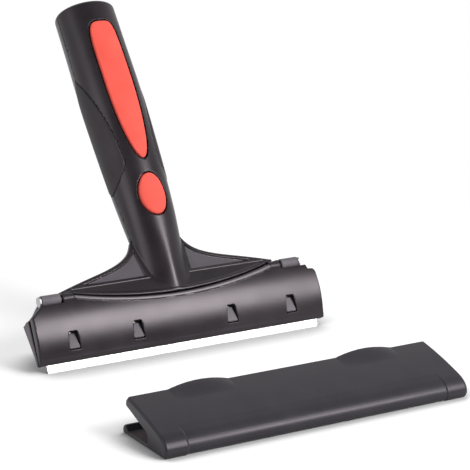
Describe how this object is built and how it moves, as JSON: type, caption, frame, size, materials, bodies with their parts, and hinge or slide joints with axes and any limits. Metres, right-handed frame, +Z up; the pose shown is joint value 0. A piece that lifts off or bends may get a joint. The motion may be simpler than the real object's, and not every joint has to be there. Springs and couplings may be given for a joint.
{
  "type": "wallpaper scraper",
  "caption": "Wide wallpaper scraper: a steel blade held between hinged jaws, a round handle leaning back with an inlay and a release button, and a separate channel-shaped blade guard.",
  "frame": {"origin": "on the table, under the middle of the box around the tool and its guard", "axes": "+X along the blade, +Y from the guard to the handle, +Z up"},
  "size_m": [0.1596, 0.2476, 0.1594],
  "materials": {
    "black_plastic": "satin black moulding with a fine texture",
    "pad_rubber": "matt soft-touch",
    "inlay_rubber": "matt soft-touch",
    "button_plastic": "matt",
    "blade_steel": "ground",
    "zinc_steel": "zinc plated",
    "spring_wire": "drawn wire",
    "nylon": "plain moulding"
  },
  "bodies": {
    "handle": {"handle_front_shell": "black_plastic", "handle_rear_shell": "black_plastic", "grip_inlay": "inlay_rubber", "grip_pad_left": "pad_rubber", "grip_pad_right": "pad_rubber", "button_spring": "spring_wire", "rear_jaw": "black_plastic", "blade": "blade_steel", "hinge_pin_left": "zinc_steel", "hinge_pin_right": "zinc_steel", "jaw_spring_left": "spring_wire", "jaw_spring_right": "spring_wire", "handle_screw_1": "zinc_steel", "handle_screw_2": "zinc_steel", "jaw_screw_1": "zinc_steel", "jaw_screw_2": "zinc_steel", "jaw_screw_3": "zinc_steel", "jaw_screw_4": "zinc_steel"},
    "button": {"release_button": "button_plastic"},
    "rod": {"push_rod": "nylon"},
    "jaw": {"front_jaw": "black_plastic"},
    "guard": {"blade_guard": "black_plastic"}
  },
  "joints": [
    {"name": "button_press", "type": "slide", "parent": "handle", "child": "button", "axis": [0, 0.807, -0.5906], "range_m": [0, 0.0032], "stiffness_N_per_m": 600, "springref_m": -0.002, "deforming": ["button_spring"]},
    {"name": "rod_slide", "type": "slide", "parent": "handle", "child": "rod", "axis": [0, -0.5906, -0.807], "range_m": [0, 0.00165]},
    {"name": "jaw_swing", "type": "hinge", "parent": "handle", "child": "jaw", "pos_m": [0.0008, 0.01733, 0.03077], "axis": [-1, 0, 0], "range_deg": [0, 17.1], "deforming": ["jaw_spring_left", "jaw_spring_right"]},
    {"name": "guard_slide", "type": "slide", "parent": "handle", "child": "guard", "axis": [0, 1, 0], "range_m": [-0.03, 0.07]}
  ],
  "couplings": [
    {"joint": "rod_slide", "follows": "button_press", "ratio": 0.5},
    {"joint": "jaw_swing", "follows": "button_press", "rad_per_m": 92.7}
  ]
}
